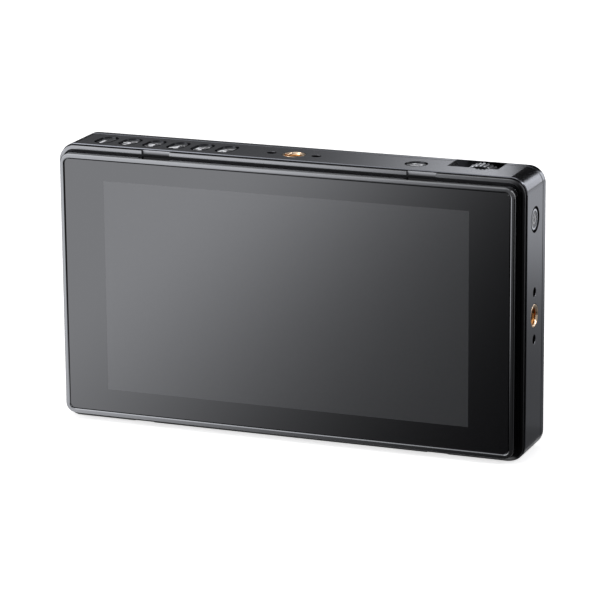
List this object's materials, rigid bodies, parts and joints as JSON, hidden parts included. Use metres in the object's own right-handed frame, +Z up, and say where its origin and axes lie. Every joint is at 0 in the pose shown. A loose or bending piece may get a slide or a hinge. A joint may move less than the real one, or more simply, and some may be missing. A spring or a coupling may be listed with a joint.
{
  "type": "camera field monitor",
  "caption": "Camera-top touchscreen monitor: metal casing, shortcut keys and thumb wheel on top, power key and mounting threads at the edges, slide-on battery plate behind.",
  "frame": {"origin": "middle of the bottom face, at the mouth of the bottom mounting thread, midway between its two pin holes", "axes": "the screen faces -Y, +Z is up and +X is on the viewer's right"},
  "size_m": [0.156, 0.0328, 0.0907],
  "materials": {
    "casing": "bead-blasted, dark grey anodised",
    "screen_glass": "gloss, black border behind the glass",
    "display_glass": "semi-gloss",
    "tape": "matt",
    "diffuser": "white film",
    "sheet_steel": "stamped sheet",
    "brass_insert": "turned",
    "key_cap": "satin black",
    "wheel_black": "satin black",
    "circuit_board": "solder mask",
    "black_plastic": "moulded",
    "gap_pad": "soft",
    "heat_sink": "plain",
    "socket_steel": "plated sheet",
    "contact_metal": "gold plated",
    "flex": "polyimide film",
    "lead": "insulated wire",
    "screw_steel": "blackened"
  },
  "bodies": {
    "casing": {"front_frame": "casing", "mid_housing": "casing", "rear_cover": "casing", "cover_glass": "screen_glass", "touch_panel": "display_glass", "lcd_cell": "display_glass", "glass_adhesive": "tape", "backlight_unit": "diffuser", "panel_tray": "sheet_steel", "wheel_bracket": "sheet_steel", "latch_spring": "sheet_steel", "top_thread_insert": "brass_insert", "side_thread_insert": "brass_insert", "bottom_thread_insert": "brass_insert", "key_board": "circuit_board", "power_board": "circuit_board", "main_board": "circuit_board", "key_switches": "black_plastic", "power_switch": "black_plastic", "wheel_encoder": "black_plastic", "board_chips": "black_plastic", "hdmi_input_core": "black_plastic", "hdmi_output_core": "black_plastic", "usb_core": "black_plastic", "headphone_jack": "black_plastic", "power_jack": "black_plastic", "battery_plate": "black_plastic", "thermal_pad": "gap_pad", "heat_sink": "heat_sink", "hdmi_input_shell": "socket_steel", "hdmi_output_shell": "socket_steel", "usb_shell": "socket_steel", "battery_contacts": "contact_metal", "display_flex": "flex", "key_flex": "flex", "battery_leads": "lead", "power_leads": "lead", "case_screws": "screw_steel", "plate_screws": "screw_steel", "tray_screws": "screw_steel", "board_screws": "screw_steel", "key_board_screws": "screw_steel"},
    "key_1": {"function_key_1": "key_cap"},
    "key_2": {"function_key_2": "key_cap"},
    "key_3": {"function_key_3": "key_cap"},
    "key_4": {"function_key_4": "key_cap"},
    "key_5": {"function_key_5": "key_cap"},
    "key_6": {"function_key_6": "key_cap"},
    "return_key": {"return_key": "key_cap"},
    "power_key": {"power_key": "key_cap"},
    "wheel": {"thumb_wheel": "wheel_black", "wheel_shaft": "sheet_steel"},
    "latch": {"battery_latch": "black_plastic"}
  },
  "joints": [
    {"name": "key_1_press", "type": "slide", "parent": "casing", "child": "key_1", "axis": [0, 0, -1], "range_m": [0, 0.0004], "stiffness_N_per_m": 1500, "springref_m": -0.0004},
    {"name": "key_2_press", "type": "slide", "parent": "casing", "child": "key_2", "axis": [0, 0, -1], "range_m": [0, 0.0004], "stiffness_N_per_m": 1500, "springref_m": -0.0004},
    {"name": "key_3_press", "type": "slide", "parent": "casing", "child": "key_3", "axis": [0, 0, -1], "range_m": [0, 0.0004], "stiffness_N_per_m": 1500, "springref_m": -0.0004},
    {"name": "key_4_press", "type": "slide", "parent": "casing", "child": "key_4", "axis": [0, 0, -1], "range_m": [0, 0.0004], "stiffness_N_per_m": 1500, "springref_m": -0.0004},
    {"name": "key_5_press", "type": "slide", "parent": "casing", "child": "key_5", "axis": [0, 0, -1], "range_m": [0, 0.0004], "stiffness_N_per_m": 1500, "springref_m": -0.0004},
    {"name": "key_6_press", "type": "slide", "parent": "casing", "child": "key_6", "axis": [0, 0, -1], "range_m": [0, 0.0004], "stiffness_N_per_m": 1500, "springref_m": -0.0004},
    {"name": "return_key_press", "type": "slide", "parent": "casing", "child": "return_key", "axis": [0, 0, -1], "range_m": [0, 0.0004], "stiffness_N_per_m": 1500, "springref_m": -0.0004},
    {"name": "power_key_press", "type": "slide", "parent": "casing", "child": "power_key", "axis": [-1, 0, 0], "range_m": [0, 0.0004], "stiffness_N_per_m": 1500, "springref_m": -0.0004},
    {"name": "wheel_turn", "type": "hinge", "parent": "casing", "child": "wheel", "pos_m": [0.0599, 0.0032, 0.08275], "axis": [0, 1, 0], "continuous": true},
    {"name": "latch_press", "type": "slide", "parent": "casing", "child": "latch", "axis": [0, -1, 0], "range_m": [0, 0.0016], "stiffness_N_per_m": 1200, "springref_m": -0.001, "deforming": ["latch_spring"]}
  ]
}
